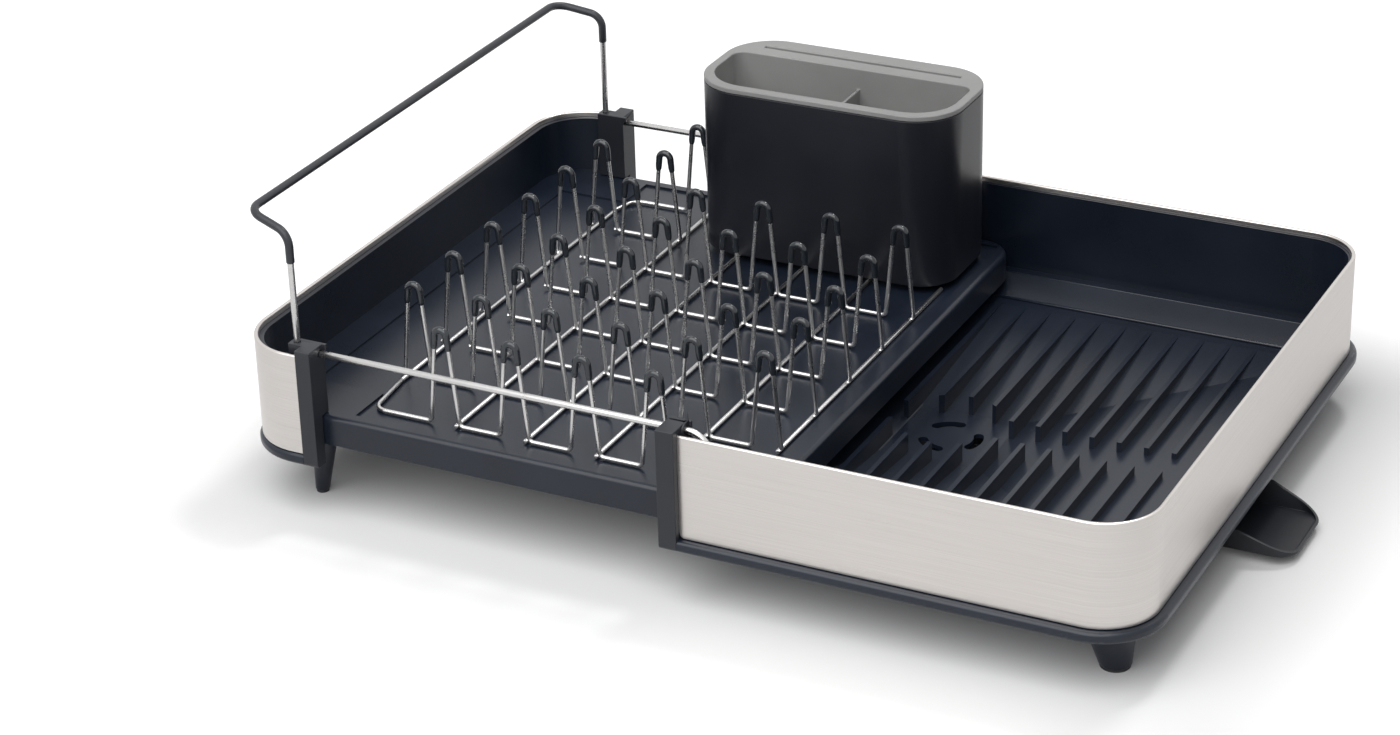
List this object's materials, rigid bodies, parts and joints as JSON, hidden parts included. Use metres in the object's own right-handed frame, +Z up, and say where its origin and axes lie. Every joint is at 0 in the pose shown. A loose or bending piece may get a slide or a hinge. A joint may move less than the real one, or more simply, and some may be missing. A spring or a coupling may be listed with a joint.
{
  "type": "expandable dish rack",
  "caption": "Dish rack that opens out: a tray with a wire plate rack, cutlery holder and side hoop slides over a drip tray with a swivelling drain spout.",
  "frame": {"origin": "middle of the whole length and depth, on the surface that the rack stands on", "axes": "+X towards the drip tray and its spout, -Y towards the front, +Z up"},
  "size_m": [0.5274, 0.364, 0.1647],
  "materials": {
    "tray_plastic": "satin, dark blue-black",
    "band_steel": "fine brushed, warm light grey",
    "wire_steel": "polished wire",
    "tip_coat": "soft glossy coat, blue-grey",
    "hoop_coat": "soft coat",
    "holder_plastic": "smooth, near-black navy",
    "liner_plastic": "satin, mid grey",
    "pad_rubber": "matte",
    "spout_plastic": "satin, dark blue-black",
    "fastener_steel": "plain"
  },
  "bodies": {
    "drip_tray": {"outer_back_foot": "tray_plastic", "outer_back_pad": "pad_rubber", "outer_back_post": "tray_plastic", "outer_front_foot": "tray_plastic", "outer_front_pad": "pad_rubber", "outer_front_post": "tray_plastic", "outer_steel_band": "band_steel", "outer_tray": "tray_plastic", "spout_washer": "fastener_steel", "spout_screw": "fastener_steel"},
    "narrow_tray": {"inner_back_foot": "tray_plastic", "inner_back_pad": "pad_rubber", "inner_back_post": "tray_plastic", "inner_front_foot": "tray_plastic", "inner_front_pad": "pad_rubber", "inner_front_post": "tray_plastic", "inner_steel_band": "band_steel", "inner_tray": "tray_plastic", "front_rail": "wire_steel", "back_rail": "wire_steel"},
    "side_hoop": {"side_hoop_wire": "wire_steel", "side_hoop_sleeve": "hoop_coat"},
    "plate_rack": {"rack_cross_wire_1": "wire_steel", "rack_cross_wire_2": "wire_steel", "rack_cross_wire_3": "wire_steel", "rack_cross_wire_4": "wire_steel", "rack_cross_wire_5": "wire_steel", "rack_cross_wire_6": "wire_steel", "rack_row_a": "wire_steel", "rack_row_b": "wire_steel", "rack_row_c": "wire_steel", "rack_row_d": "wire_steel", "rack_row_e": "wire_steel", "rack_row_f": "wire_steel", "rack_row_g": "wire_steel", "rack_row_h": "wire_steel", "rack_tips_a": "tip_coat", "rack_tips_b": "tip_coat", "rack_tips_c": "tip_coat", "rack_tips_d": "tip_coat", "rack_tips_e": "tip_coat", "rack_tips_f": "tip_coat", "rack_tips_g": "tip_coat", "rack_tips_h": "tip_coat"},
    "cutlery_holder": {"cutlery_shell": "holder_plastic"},
    "holder_liner": {"cutlery_liner": "liner_plastic"},
    "spout": {"drain_spout": "spout_plastic"}
  },
  "joints": [
    {"name": "tray_close", "type": "slide", "parent": "drip_tray", "child": "narrow_tray", "axis": [1, 0, 0], "range_m": [0, 0.195]},
    {"name": "hoop_lift", "type": "slide", "parent": "narrow_tray", "child": "side_hoop", "axis": [0, 0, 1], "range_m": [0, 0.03]},
    {"name": "rack_lift", "type": "slide", "parent": "narrow_tray", "child": "plate_rack", "axis": [0, 0, 1], "range_m": [0, 0.08]},
    {"name": "holder_lift", "type": "slide", "parent": "plate_rack", "child": "cutlery_holder", "axis": [0, 0, 1], "range_m": [0, 0.15]},
    {"name": "liner_lift", "type": "slide", "parent": "cutlery_holder", "child": "holder_liner", "axis": [0, 0, 1], "range_m": [0, 0.1]},
    {"name": "spout_swivel", "type": "hinge", "parent": "drip_tray", "child": "spout", "pos_m": [0.06725, 0, 0.012], "axis": [0, 0, 1], "range_deg": [-90, 90]}
  ]
}
